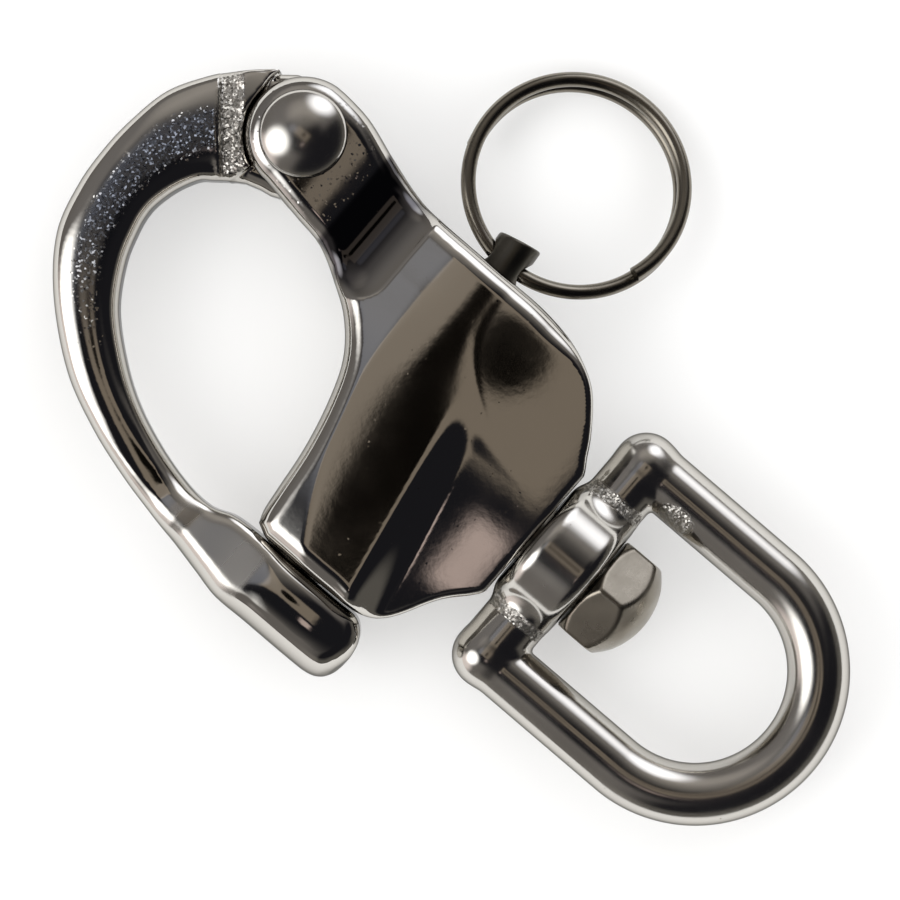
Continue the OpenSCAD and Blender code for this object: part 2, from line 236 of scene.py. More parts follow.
def smooth_run(rows, steps):
    """A smooth curve through rows of numbers."""
    p = np.asarray(rows, float)
    ends = np.vstack([p[:1], p, p[-1:]])
    t = np.linspace(0, 1, steps, endpoint=False)[:, None]
    run = [0.5 * (2 * b + (c - a) * t + (2 * a - 5 * b + 4 * c - d) * t ** 2 + (3 * b - a - 3 * c + d) * t ** 3)
           for a, b, c, d in zip(ends, ends[1:], ends[2:], ends[3:])]
    return np.vstack(run + [p[-1:]])


def outline_distance(x, y, outline):
    """Distance in the plane to a closed outline, less than 0 inside."""
    x, y = np.broadcast_arrays(x, y)
    best = np.full(x.shape, np.inf)
    inside = np.zeros(x.shape, bool)
    for (ax, ay), (bx, by) in zip(outline, np.roll(outline, -1, axis=0)):
        ex, ey = bx - ax, by - ay
        t = np.clip(((x - ax) * ex + (y - ay) * ey) / (ex * ex + ey * ey + 1e-12), 0, 1)
        best = np.minimum(best, (x - ax - t * ex) ** 2 + (y - ay - t * ey) ** 2)
        if ey:
            inside ^= ((ay > y) != (by > y)) & (x < ax + (y - ay) / ey * ex)
    return np.where(inside, -1, 1) * np.sqrt(best)


def place_on_run(x, y, path):
    """How far along an open path the nearest point is, counted in its points."""
    x, y = np.broadcast_arrays(x, y)
    best = np.full(x.shape, np.inf)
    place = np.zeros(x.shape)
    for i, ((ax, ay), (bx, by)) in enumerate(zip(path, path[1:])):
        ex, ey = bx - ax, by - ay
        t = np.clip(((x - ax) * ex + (y - ay) * ey) / (ex * ex + ey * ey), 0, 1)
        d = (x - ax - t * ex) ** 2 + (y - ay - t * ey) ** 2
        place = np.where(d < best, i + t, place)
        best = np.minimum(best, d)
    return place, np.sqrt(best)


def rounded_meet(a, b, r):
    """What two fields share, with the edge between them rounded."""
    return (np.minimum(np.maximum(a + r, b + r), 0)
            + np.hypot(np.maximum(a + r, 0), np.maximum(b + r, 0)) - r)


def filleted_join(a, b, r):
    """Two fields together, with a fillet in the corner between them."""
    return (np.maximum(np.minimum(a - r, b - r), 0)
            - np.hypot(np.minimum(a - r, 0), np.minimum(b - r, 0)) + r)


def soft_least(a, b, k):
    """The lesser of two heights, with the crease between them eased."""
    h = np.clip(0.5 + 0.5 * (b - a) / k, 0, 1)
    return b + (a - b) * h - k * h * (1 - h)


def ease(a, b, v):
    """0 before a, 1 after b and a smooth rise between."""
    t = np.clip((v - a) / (b - a), 0, 1)
    return t * t * (3 - 2 * t)


GRAIN_CELLS = 32
GRAIN = np.random.default_rng(7).random((GRAIN_CELLS, GRAIN_CELLS, GRAIN_CELLS))


def grain(x, y, z, size):
    """Lumpy height from 0 to 1, with lumps of the given size."""
    cells, parts = [], []
    for v in np.broadcast_arrays(x, y, z):
        c = np.floor(v / size)
        t = v / size - c
        cells.append(c.astype(int))
        parts.append(t * t * (3 - 2 * t))
    total = 0
    for corner in np.ndindex(2, 2, 2):
        weight = 1
        for t, k in zip(parts, corner):
            weight = weight * (t if k else 1 - t)
        total = total + weight * GRAIN[tuple((c + k) % GRAIN_CELLS for c, k in zip(cells, corner))]
    return total


def skin_of(field, low, high, step):
    """Points and four-sided faces on a field's surface, from a grid of the given step."""
    axes = [np.arange(a, b + step, step) for a, b in zip(low, high)]
    units = np.eye(3, dtype=int)
    shape = tuple(len(a) for a in axes)
    f = np.broadcast_to(field(axes[0][:, None, None], axes[1][None, :, None], axes[2][None, None, :]), shape)
    inside = f < 0
    cell_shape = tuple(n - 1 for n in shape)
    count = sum(inside[i:i + cell_shape[0], j:j + cell_shape[1], k:k + cell_shape[2]].astype(np.int8)
                for i, j, k in np.ndindex(2, 2, 2))
    mixed = (count > 0) & (count < 8)
    number = np.full(cell_shape, -1)
    number[mixed] = np.arange(mixed.sum())
    cells = np.argwhere(mixed)
    total, hits = np.zeros(cells.shape), np.zeros(len(cells))
    for axis, unit in enumerate(units):
        for corner in np.ndindex(2, 2, 2):
            if corner[axis]:
                continue
            fa = f[tuple((cells + corner).T)]
            fb = f[tuple((cells + corner + unit).T)]
            crossed = (fa < 0) != (fb < 0)
            t = np.where(crossed, fa / np.where(crossed, fa - fb, 1), 0)
            total += np.where(crossed[:, None], np.array(corner) + t[:, None] * unit, 0)
            hits += crossed
    points = np.array([a[0] for a in axes]) + step * (cells + total / hits[:, None])
    faces = []
    for axis in range(3):
        u, v = units[(axis + 1) % 3], units[(axis + 2) % 3]
        grid = np.argwhere(np.diff(inside, axis=axis))
        grid = grid[np.all((grid + u + v < np.array(shape)) & (grid - u - v >= 0), axis=1)]
        quad = np.stack([number[tuple((grid - off).T)] for off in (u + v, v, 0 * u, u)], axis=1)
        outward = inside[tuple(grid.T)]
        faces.append(np.where(outward[:, None], quad, quad[:, ::-1]))
    faces = np.vstack(faces)
    # The points are drawn onto the surface, along the field's slope
    nudge, least_slope = 0.01, 0.05
    for _ in range(2):
        here = field(*points.T)
        slope = np.stack([(field(*(points + d).T) - here) / nudge for d in nudge * np.eye(3)], axis=1)
        move = (here / np.maximum((slope ** 2).sum(1), least_slope))[:, None] * slope
        points = points - np.clip(move, -0.5 * step, 0.5 * step)
    return points, faces


def new_object(name, data):
    """An object in the scene with the given data."""
    made = bpy.data.objects.new(name, data)
    bpy.context.scene.collection.objects.link(made)
    return made


def new_piece(name, points, faces, material, **marks):
    """A smooth mesh object from points in millimetres, with its marks as point attributes."""
    mesh = bpy.data.meshes.new(name)
    mesh.from_pydata((np.asarray(points) * MM).tolist(), [], [list(map(int, face)) for face in faces])
    for mark, values in marks.items():
        mesh.attributes.new(mark, "FLOAT", "POINT").data.foreach_set("value", np.asarray(values, np.float32))
    mesh.materials.append(material)
    mesh.shade_smooth()
    mesh.validate()
    return new_object(name, mesh)


def fit(piece, node, body):
    """Hands a finished piece to the frame."""
    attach(piece, body)
    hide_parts(node)


def lathe(profile, sides, centre):
    """Points and faces of a shape turned about Z, from rows of radius and height, top first, with ends at 0."""
    turn = 2 * np.pi * np.arange(sides) / sides
    rings = profile[1:-1]
    cx, cy = centre
    points = [[cx, cy, profile[0][1]]]
    for r, h in rings:
        points += [[cx + r * math.cos(a), cy + r * math.sin(a), h] for a in turn]
    points.append([cx, cy, profile[-1][1]])
    last = len(points) - 1
    faces = []
    for j in range(sides):
        k = (j + 1) % sides
        faces.append([1 + j, 1 + k, 0])
        for i in range(len(rings) - 1):
            a, b = 1 + i * sides, 1 + (i + 1) * sides
            faces.append([b + j, b + k, a + k, a + j])
        a = 1 + (len(rings) - 1) * sides
        faces.append([a + k, a + j, last])
    return points, faces


def on_pin(x, y, z):
    """Along the plunger from the latch side, across it to the eye's side, and away from its axis."""
    dx, dy = x - PIN_FOOT[0], y - PIN_FOOT[1]
    across = dx * math.cos(PIN_LEAN) + dy * math.sin(PIN_LEAN)
    along = dy * math.cos(PIN_LEAN) - dx * math.sin(PIN_LEAN)
    return along, across, np.hypot(across, z)


# Body

def body_outline(cheek):
    """The body's outline: round fork end, loop side, latch side, swivel face and ring side."""
    turn = np.radians(np.arange(90, 271, 6))
    px, py = RIVET
    fork = np.stack([px + cheek * np.cos(turn), py + cheek * np.sin(turn)], axis=1)
    loop_side = smooth_run([
        (px, py - cheek), (px + 4.2, py - cheek - 0.7), (STEP_X - 6.8, 7.3),
        (STEP_X - 3.6, 5.6), (STEP_X - 0.8, 3.7), (STEP_X + 1.6, 0.8), (STEP_X + 3.1, -3),
        (STEP_X + 4.2, -7.6), (STEP_X + 4.75, -12), (STEP_X + 5.05, LATCH_Y + 1.9),
        (STEP_X + 5.5, LATCH_Y + 0.6)], OUTLINE_STEPS)
    latch_side = smooth_run([
        (STEP_X + 6.7, LATCH_Y), (STEP_X + 9, LATCH_Y), (STEP_X + 14, LATCH_Y), (FACE_X - 7.2, LATCH_Y + 0.3),
        (FACE_X - 5, LATCH_Y + 1.9), (FACE_X - 2.8, -FACE_HALF - 3),
        (FACE_X - 0.9, -FACE_HALF - 0.8)], OUTLINE_STEPS)
    face = [(FACE_X - 0.25, -FACE_HALF), (FACE_X, 0.5 - FACE_HALF),
            (FACE_X, FACE_HALF - 0.5), (FACE_X - 0.25, FACE_HALF)]
    ring_side = smooth_run([
        (FACE_X - 0.9, FACE_HALF + 1.0), (FACE_X - 1.9, FACE_HALF + 2.7), (FACE_X - 3.9, BODY_TOP - 3.4),
        (FACE_X - 5.8, BODY_TOP - 1.9), (STEP_X + 16.4, BODY_TOP - 0.6), (STEP_X + 12.4, BODY_TOP),
        (STEP_X + 6.8, BODY_TOP), (STEP_X, BODY_TOP + 0.1), (STEP_X - 3, BODY_TOP + 0.5),
        (STEP_X - 6.8, BODY_TOP + 1.6), (px + 3.6, py + cheek - 0.4), (px, py + cheek)], OUTLINE_STEPS)
    return np.vstack([fork[1:-1], loop_side, latch_side, face, ring_side[:-1]])


def body_height(x, y, half, fork):
    """Half thickness over the body: fork, scoop, flank, barrel over the plunger, and pillow beside it."""
    _, across, _ = on_pin(x, y, 0)
    # The flank falls to the loop's side from a bowed line
    flank_edge = FLANK_X + (y - FLANK_MID_Y) ** 2 * np.where(y > FLANK_MID_Y, 0.008, 0.0155)
    _, at_edge, _ = on_pin(flank_edge, y, 0)
    # Toward the latch the barrel gets flatter, and its crest runs to the eye's side
    near_latch = ease(12, -2, y)
    flat = 80 + 110 * near_latch
    middle = -0.2 + 0.115 * np.maximum(10 - y, 0)
    fall = np.maximum((x - flank_edge) * 0.95, -4.4)
    flank = half - (at_edge - middle) ** 2 / flat + 0.19 * fall
    barrel = half - (across - middle) ** 2 / (flat + 120 * near_latch)
    bulge = np.where(y > PILLOW[1], 1 / 120, 1 / 320)
    pillow = half - (x - PILLOW[0]) ** 2 / 300 - (y - PILLOW[1]) ** 2 * bulge
    # Near the latch the barrel turns into the pillow, and higher up the two meet in a soft valley
    low = barrel + (pillow - barrel) * ease(3, 7, across - middle)
    top = low + (-soft_least(-barrel, -pillow, 0.03) - low) * ease(2, 7, y)
    top = np.maximum(top, 5.5 * ease(-43.5, -45.5, x))
    broad = soft_least(top, flank, 0.06)
    cheek = fork - 0.014 * np.clip(x + 58, 0, 8.5) ** 2
    broad = cheek + (broad - cheek) * ease(-50, -46.5, x)
    scoop = SCOOP_R ** 2 - (x - SCOOP_X) ** 2 - np.minimum(y - SCOOP_END, 0) ** 2
    return soft_least(broad, SCOOP_HALF + SCOOP_R - np.sqrt(np.maximum(scoop, 0)), 0.06)


def body_field(sizes):
    """The body with its slot, its plunger bore and its bolt hole."""
    half, fork, edge, cheek, slot = (
        v / MM for v in (sizes.body_half, sizes.fork_half, sizes.body_edge, sizes.cheek_radius, sizes.slot_width))
    outline = body_outline(cheek)

    def field(x, y, z):
        height = body_height(x, y, half, fork)
        rim = edge * (1 - 0.7 * ease(-31, -25, x))
        solid = rounded_meet(outline_distance(x, y, outline), np.abs(z) - height, rim)
        pocket = np.minimum(np.hypot(x - RIVET[0], y - RIVET[1]) - cheek - 1, x - RIVET[0])
        gap = np.maximum(np.abs(z) - slot / 2, pocket)
        along, _, away = on_pin(x, y, z)
        bore = np.minimum(np.maximum(away - NOSE_BORE, along - GUIDE_AT), away - SHANK_BORE)
        bolt_hole = np.maximum(np.hypot(y, z) - BOLT_R, BOLT_END - x)
        for hollow in (gap, bore, bolt_hole):
            solid = rounded_meet(solid, -hollow, HOLE_EDGE)
        return solid
    return field


# Hook

def hook_run(sizes):
    """Stations along the hook: outer edge, inner edge, half thickness, edge rounding and crown."""
    arm, toe = sizes.arm_half / MM, sizes.toe_half / MM
    # The back, rivet's height, latch side, step, toe's low side and face. The inset keeps it in the CAD's box
    inset = 0.01
    b, r, l, s, t, f = BACK_X + inset, RIVET[1], LATCH_Y, STEP_X, TOE_LOW + inset, FACE_X
    return smooth_run([
        (b + 6.1, r + 1.9, b + 10.8, r - 7.5, arm, 0.8, 0.7), (b + 4.5, r + 0.3, b + 9.35, r - 8.65, arm, 0.8, 1.0),
        (b + 3, r - 1.5, b + 8.5, r - 9.4, arm, 0.8, 1.2), (b + 1, r - 5, b + 7.6, r - 11.2, arm, 0.8, 1.3),
        (b + 0.2, r - 9.2, b + 7.1, r - 13, arm, 0.8, 1.3), (b, r - 12.6, b + 6.95, r - 14.6, arm, 0.8, 1.3),
        (b + 0.3, r - 16.7, b + 7.3, r - 16.6, arm - 0.1, 0.8, 1.3),
        (b + 1.65, l + 8.8, b + 8.35, l + 10.6, arm - 0.2, 0.8, 1.3),
        (b + 5.2, l + 4.15, b + 10.65, l + 7, arm - 0.35, 0.8, 1.2),
        (b + 10.6, l - 0.3, b + 14.3, l + 3.8, arm - 0.55, 0.8, 1.1),
        (b + 15.8, l - 2.8, b + 17.8, l + 1.6, 2.9, 0.9, 0.8),
        (s - 6.9, t + 2.9, s - 5.9, TOE_Y + 0.2, 2.7, 1.3, 0.4),
        (s - 2.5, t + 1.9, s - 2, TOE_Y - 0.8, 2.75, 1.8, 0), (s + 1, t + 1.2, s + 1, TOE_Y - 1, 4.0, 1.8, 0),
        (s + 3.9, t + 0.6, s + 3.4, TOE_Y - 0.2, toe, 1.8, 0), (s + 6.9, t, s + 6.4, TOE_Y, toe, 1.9, 0),
        (s + 10.8, t, s + 10.8, TOE_Y, toe, 2, 0), (f - 9.6, t, f - 9.6, TOE_Y, toe, 2, 0),
        (f - 7.6, t + 0.1, f - 7.6, TOE_Y, toe, 2, 0), (f - 6.4, t + 0.6, f - 6.4, TOE_Y - 0.7, toe, 2, 0),
        (f - 5.7, t + 1.6, f - 5.7, TOE_Y - 1.9, toe - 0.2, 2, 0),
        (f - 5.45, t + 2.8, f - 5.45, TOE_Y - 3.2, toe - 0.4, 2, 0)], HOOK_STEPS)


def hook_place(x, y, run):
    """Station number, distance outward from the middle as a share of the width, and the station's values."""
    middle = (run[:, 0:2] + run[:, 2:4]) / 2
    place, away = place_on_run(x, y, middle)
    index = np.arange(len(run))
    to_outer = run[:, 0:2] - middle
    width = np.hypot(to_outer[:, 0], to_outer[:, 1])
    mid_x, mid_y = np.interp(place, index, middle[:, 0]), np.interp(place, index, middle[:, 1])
    side = ((x - mid_x) * np.interp(place, index, to_outer[:, 0])
            + (y - mid_y) * np.interp(place, index, to_outer[:, 1]))
    share = np.sign(side) * np.clip(away / np.interp(place, index, width), 0, 1)
    return place / HOOK_STEPS, share, [np.interp(place, index, run[:, k]) for k in (4, 5, 6)]


def from_band(x, y):
    """Distance toward the rivet from the line where the arm's broad face steps down to the coarse band."""
    return (x - BAND_AT[0]) * BAND_WAY[0] + (y - BAND_AT[1]) * BAND_WAY[1]


def cast_skin_on_hook(x, y, station, share):
    """Where the hook is rough: the coarse band at the hinge, and the middle of the arm's broad faces."""
    past = from_band(x, y)
    band = ease(0.0, 0.25, past) * ease(2.5, 2.2, past) * ease(0.97, 0.85, np.abs(share)) * ease(4, 3, station)
    arm = ease(0.0, -0.4, past) * ease(9.5, 6.0, station) * ease(-0.62, -0.3, share) * ease(0.5, 0.22, share)
    return band, arm


def hook_field(sizes):
    """The hook with its tongue, its rivet hole and the socket for the plunger's nose."""
    run = hook_run(sizes)
    cheek = sizes.cheek_radius / MM
    px, py = RIVET
    # The root clears the fork's round ends, more so at the top, where it passes them as the hook opens
    turn = np.radians(np.arange(250, 145, -8))
    away = cheek + 0.25 + 0.75 * ease(math.radians(176), math.radians(152), turn)
    hinge = np.stack([px + away * np.cos(turn), py + away * np.sin(turn)], axis=1)
    outline = np.vstack([run[:, 0:2], run[::-1, 2:4], hinge])
    root, shoulder = run[2 * HOOK_STEPS], run[0]
    low, reach, start = py - cheek, 0.97 * cheek, math.radians(115)
    tongue_outline = np.array([
        (px + reach * math.cos(start), py + reach * math.sin(start)), (px - 4.2, py + 3.95),
        0.97 * shoulder[0:2] + 0.03 * shoulder[2:4], 0.4 * root[0:2] + 0.6 * root[2:4], shoulder[2:4],
        (px - 1.4, low - 1.4), (px, low - 0.95), (px + 1.1, low - 0.75), (px + 1.9, low - 0.4),
        (px + 2.2, low + 0.3), (px + 1.5, py)])

    def field(x, y, z):
        station, share, (height, edge, crown) = hook_place(x, y, run)
        past, by_hinge = from_band(x, y), ease(4, 3, station)
        # The toe: a flat that rises to a domed knob
        on_toe = ease(12.0, 13.0, station)
        flat = 2.75 + np.where(x > -45.2, 0.2, -0.6) * (x + 45.2)
        knob = height - np.minimum((x + 33) ** 2, 49) / 75 - 0.067 * (y + 19.1) ** 2 * ease(-40, -35, x)
        height = height + on_toe * (soft_least(knob, flat, 0.25) - height)
        edge = edge + 0.9 * on_toe * share + (0.35 - edge) * ease(1.6, 3.0, past) * by_hinge
        # The band at the hinge: a step down, a slow rise and a coarse grain
        step = 0.5 * ease(0, 0.35, past) - 0.16 * np.clip(past - 0.3, 0, 2.0)
        height = height - step * by_hinge
        band, _ = cast_skin_on_hook(x, y, station, share)
        rough = 0.12 * band * (grain(x, y, z, 0.45) - 0.5)
        height = height - crown * np.abs(share) ** 2.5 + np.where(np.abs(z) > 0.5 * height, rough, 0)
        solid = rounded_meet(outline_distance(x, y, outline), np.abs(z) - height, edge)
        from_rivet = np.hypot(x - px, y - py)
        plan = np.minimum(outline_distance(x, y, tongue_outline), from_rivet - cheek + 0.15)
        solid = filleted_join(solid, rounded_meet(plan, np.abs(z) - TONGUE_HALF, 1.3), 0.3)
        along, _, away = on_pin(x, y, z)
        socket = np.maximum(away - NOSE_BORE, -4.6 - along)
        for hollow in (RIVET_BORE - from_rivet, -socket):
            solid = rounded_meet(solid, hollow, HOLE_EDGE)
        return solid
    return field, run


# Eye, bolt and plunger

def cast_skin_on_eye(x, y, z):
    """Where the mould's rough skin is left: the fillets beside the hub and a patch inside one arm."""
    beside = ease(6.3, 6.6, np.abs(y)) * ease(7.7, 7.4, np.abs(y)) * ease(-12.2, -12.8, x)
    patch = ease(2.2, 1.2, np.hypot(x + 10.5, (y - 9.3) * 1.6))
    return (beside + patch) * ease(0.6, 1.6, np.abs(z))


def eye_field(sizes):
    """The eye: round bow and arms, crossbar, and hub with its bore."""
    bar, hub = sizes.eye_bar / MM, sizes.hub_radius / MM
    hub_mid, hub_half = (HUB_FRONT + HUB_BACK) / 2, (HUB_FRONT - HUB_BACK) / 2

    def field(x, y, z):
        to_bow = np.where(x > 0, np.hypot(x, y) - EYE_MID_R, np.abs(y) - EYE_MID_R)
        loop = np.sqrt(to_bow ** 2 + z ** 2 + np.maximum(CROSSBAR_X - x, 0) ** 2) - bar
        past_arm = np.maximum(np.abs(y) - EYE_MID_R, 0)
        crossbar = np.sqrt((x - CROSSBAR_X) ** 2 + z ** 2 + past_arm ** 2) - CROSSBAR_R
        away = np.hypot(y, z)
        ends = np.abs(x - hub_mid) - hub_half
        stem = rounded_meet(filleted_join(crossbar, rounded_meet(away - hub, ends, 1.5), 1.1), ends, 0.3)
        rough = 0.14 * cast_skin_on_eye(x, y, z) * (grain(x, y, z, 0.6) - 0.5)
        return rounded_meet(filleted_join(loop, stem, 0.5) + rough, -np.maximum(away - BOLT_BORE, x), 0.3)
    return field


def bolt_field(sizes):
    """The bolt: hexagon head with bevelled corners and a domed end, and its shank."""
    flat = sizes.head_flats / MM / 2
    shoulder, rise = HEAD_SEAT + 4.2, 2.0
    dome = (flat ** 2 + rise ** 2) / (2 * rise)
    mid, half = (HEAD_SEAT + BOLT_END) / 2, (HEAD_SEAT - BOLT_END) / 2
    slant = 0.7071

    def field(x, y, z):
        sides = [np.abs(y * math.cos(a) + z * math.sin(a)) - flat for a in np.radians((0, 60, 120))]
        head = rounded_meet(rounded_meet(sides[0], sides[1], 0.25), sides[2], 0.25)
        away = np.hypot(y, z)
        bevels = np.maximum((away - flat + x - shoulder) * slant, (away - flat + HEAD_SEAT - x) * slant)
        head = rounded_meet(head, bevels, 0.15)
        head = rounded_meet(head, np.hypot(x - shoulder - rise + dome, away) - dome, 0.3)
        head = rounded_meet(head, HEAD_SEAT - x, 0.15)
        shank = rounded_meet(away - BOLT_R, np.abs(x - mid) - half - 0.1, 0.3)
        return np.minimum(head, shank)
    return field


def plunger_field(sizes):
    """The plunger: thick nose, shank with a slightly slanted end, and the cross hole for the ring."""
    shank, nose = sizes.pin_radius / MM, sizes.nose_radius / MM
    end = PIN_LEN + PIN_PROUD / math.cos(PIN_LEAN)

    def field(x, y, z):
        along, across, away = on_pin(x, y, z)
        thick = rounded_meet(away - nose, np.abs(along - NOSE_MID) - NOSE_HALF, 0.6)
        cut = (along - end + 0.28 - 0.13 * across) * 0.99
        thin = rounded_meet(away - shank, np.maximum(cut, -along), 0.25)
        hole = np.hypot(along - RING_AT, z) - RING_HOLE_R
        return rounded_meet(np.minimum(thick, thin), -hole, 0.2)
    return field


# Materials

def add(tree, kind, settings=None, sockets=None):
    """Adds a node, with its settings, and with each socket's value or the output that it is linked to."""
    node = tree.nodes.new(kind)
    for key, value in (settings or {}).items():
        setattr(node, key, value)
    for key, value in (sockets or {}).items():
        if isinstance(value, bpy.types.NodeSocket):
            tree.links.new(value, node.inputs[key])
        else:
            node.inputs[key].default_value = value
    return node


def empty_tree(owner):
    """The emptied node tree of a material or a world."""
    owner.use_nodes = True
    owner.node_tree.nodes.clear()
    return owner.node_tree


def new_material(name):
    """An empty material with its tree, its shader and its Object coordinates."""
    material = bpy.data.materials.new(name)
    tree = empty_tree(material)
    shader = add(tree, "ShaderNodeBsdfPrincipled")
    add(tree, "ShaderNodeOutputMaterial", None, {"Surface": shader.outputs["BSDF"]})
    place = add(tree, "ShaderNodeTexCoord").outputs["Object"]
    return material, tree, shader, place


def per_mm(size):
    """Texture scale for a pattern with features of the given size in millimetres."""
    return 1 / (size * MM)


def noise(tree, place, size, detail):
    """Noise with features of the given size in millimetres."""
    return add(tree, "ShaderNodeTexNoise", None, {
        "Vector": place, "Scale": per_mm(size), "Detail": detail}).outputs["Fac"]


def ramp(tree, value, start, end, low, high, kind="LINEAR"):
    """A value's range carried over to another."""
    return add(tree, "ShaderNodeMapRange", {"interpolation_type": kind}, {
        "Value": value, "From Min": start, "From Max": end, "To Min": low, "To Max": high}).outputs["Result"]


def maths(tree, operation, *values):
    """A number worked out from others."""
    return add(tree, "ShaderNodeMath", {"operation": operation}, dict(enumerate(values))).outputs["Value"]


def blend(tree, factor, a, b, kind="MULTIPLY"):
    """Two colours blended by a factor."""
    return add(tree, "ShaderNodeMix", {"data_type": "RGBA", "blend_type": kind}, {
        "Factor": factor, 6: a, 7: b}).outputs[2]


def vector(tree, operation, *values, **named):
    """The outputs of a node that works on vectors."""
    return add(tree, "ShaderNodeVectorMath", {"operation": operation}, dict(enumerate(values)) | named).outputs


def bump(tree, height, strength, depth, **named):
    """A normal roughened by a height, with its depth in millimetres."""
    return add(tree, "ShaderNodeBump", None, {
        "Height": height, "Strength": strength, "Distance": depth * MM} | named).outputs["Normal"]


def metal(shader, colour, rough, normal):
    """Makes a shader bare metal with the given colour, roughness and normal."""
    shader.inputs["Metallic"].default_value = 1.0
    for name, given in (("Base Color", colour), ("Roughness", rough), ("Normal", normal)):
        shader.id_data.links.new(given, shader.inputs[name])


def cast_steel_material(name, colour, skin_colour, low, high):
    """Investment-cast steel, buffed: a mirror with slow waves, small pits, and glints where it is rough."""
    material, tree, shader, place = new_material(name)
    skin, ground, oxide, grit = (
        add(tree, "ShaderNodeAttribute", {"attribute_name": mark}).outputs["Fac"]
        for mark in ("cast_skin", "ground", "oxide", "grit"))
    facets = add(tree, "ShaderNodeTexVoronoi", None, {"Vector": place, "Scale": per_mm(0.18)}).outputs["Color"]
    pits = add(tree, "ShaderNodeTexVoronoi", None, {"Vector": place, "Scale": per_mm(2.6)}).outputs["Distance"]
    pit = ramp(tree, pits, 0.02, 0.04, 1.0, 0.0)
    # Some of the cast skin's small facets glint, and all those of the coarse grit do
    chance = add(tree, "ShaderNodeSeparateColor", None, {"Color": facets}).outputs["Blue"]
    glint = ramp(tree, maths(tree, "MULTIPLY_ADD", skin, 0.5, chance), 1.0, 1.25, 0.0, 1.0)
    glint = maths(tree, "MAXIMUM", glint, grit)
    # Smudged polish, dulled by each mark
    rough = ramp(tree, noise(tree, place, 7, 3.0), 0.35, 0.7, low, high)
    for mark, amount in ((skin, 0.18), (ground, 0.24), (grit, 0.22), (pit, 0.15), (glint, 0.14)):
        rough = maths(tree, "MULTIPLY_ADD", mark, amount, rough)
    tint = blend(tree, skin, colour, skin_colour, "MIX")
    tint = blend(tree, pit, tint, (0.55, 0.53, 0.5, 1))
    # Painted shade: the colour is darkened where the body's scoop is hollow
    tint = blend(tree, oxide, tint, (0.16, 0.16, 0.18, 1))
    # Slow waves under an orange peel, with the glinting facets leaned over
    waves = bump(tree, noise(tree, place, 5, 1.0), 0.12, 0.03)
    peel = bump(tree, noise(tree, place, 0.7, 2.0), 0.3, 0.006, Normal=waves)
    lean = vector(tree, "SUBTRACT", facets, (0.6, 0.65, 0.5))["Vector"]
    lean = vector(tree, "SCALE", lean, Scale=glint)["Vector"]
    normal = vector(tree, "NORMALIZE", vector(tree, "ADD", peel, lean)["Vector"])["Vector"]
    shader.inputs["Specular Tint"].default_value = (0.2, 0.2, 0.2, 1)
    metal(shader, tint, rough, normal)
    return material


def drawn_steel_material(name, colour, low, high, line, depth):
    """Drawn or turned bar and wire: satin, with fine lines and a little uneven darkening."""
    material, tree, shader, place = new_material(name)
    patches = noise(tree, place, 2.5, 3.0)
    rough = ramp(tree, patches, 0.3, 0.7, low, high)
    shade = blend(tree, patches, colour, (0.72, 0.7, 0.67, 1))
    metal(shader, shade, rough, bump(tree, noise(tree, place, line, 4.0), 0.6, depth))
    return material


def castings_material(finish):
    """The one finish of the body and the hook."""
    name = "stainless_steel_cast_buffed"
    return bpy.data.materials.get(name) or cast_steel_material(
        name, finish.cast_steel, finish.cast_skin, low=0.03, high=0.075)


# Wound pieces

def coil_tree():
    """Geometry Nodes for a wound wire: a spiral with a round section."""
    tree = bpy.data.node_groups.new("wound_wire", "GeometryNodeTree")
    inputs = {}
    for kind, names in (("NodeSocketFloat", ("Coil radius", "Turns", "Height", "Wire radius")),
                        ("NodeSocketInt", ("Steps in a turn", "Sides")), ("NodeSocketMaterial", ("Finish",))):
        for name in names:
            inputs[name] = tree.interface.new_socket(name, in_out="INPUT", socket_type=kind).identifier
    tree.interface.new_socket("Wire", in_out="OUTPUT", socket_type="NodeSocketGeometry")
    given = add(tree, "NodeGroupInput").outputs
    spiral = add(tree, "GeometryNodeCurveSpiral", None, {
        "Resolution": given["Steps in a turn"], "Rotations": given["Turns"], "Start Radius": given["Coil radius"],
        "End Radius": given["Coil radius"], "Height": given["Height"]})
    section = add(tree, "GeometryNodeCurvePrimitiveCircle", None, {
        "Resolution": given["Sides"], "Radius": given["Wire radius"]})
    tube = add(tree, "GeometryNodeCurveToMesh", None, {
        "Curve": spiral.outputs["Curve"], "Profile Curve": section.outputs["Curve"], "Fill Caps": True})
    smooth = add(tree, "GeometryNodeSetShadeSmooth", None, {"Geometry": tube.outputs["Mesh"]})
    real = add(tree, "GeometryNodeRealizeInstances", None, {"Geometry": smooth.outputs["Geometry"]})
    dressed = add(tree, "GeometryNodeSetMaterial", None, {
        "Geometry": real.outputs["Geometry"], "Material": given["Finish"]})
    add(tree, "NodeGroupOutput", None, {"Wire": dressed.outputs["Geometry"]})
    return tree, inputs


def wound_piece(name, material, place, **values):
    """A wound wire made by its tree, baked to a plain mesh and put in its place."""
    tree, inputs = coil_tree()
    maker = new_object(name + "_maker", bpy.data.meshes.new(name + "_maker"))
    modifier = maker.modifiers.new("wound_wire", "NODES")
    modifier.node_group = tree
    for key, value in values.items():
        modifier[inputs[key.replace("_", " ").capitalize()]] = value
    modifier[inputs["Finish"]] = material
    mesh = bpy.data.meshes.new_from_object(maker.evaluated_get(bpy.context.evaluated_depsgraph_get()))
    maker.modifiers.remove(modifier)
    bpy.data.objects.remove(maker)
    mesh.name = name
    mesh.transform(place)
    return new_object(name, mesh)


def turned(axis, degrees):
    """A turn about an axis as a matrix."""
    return Matrix.Rotation(math.radians(degrees), 4, axis)


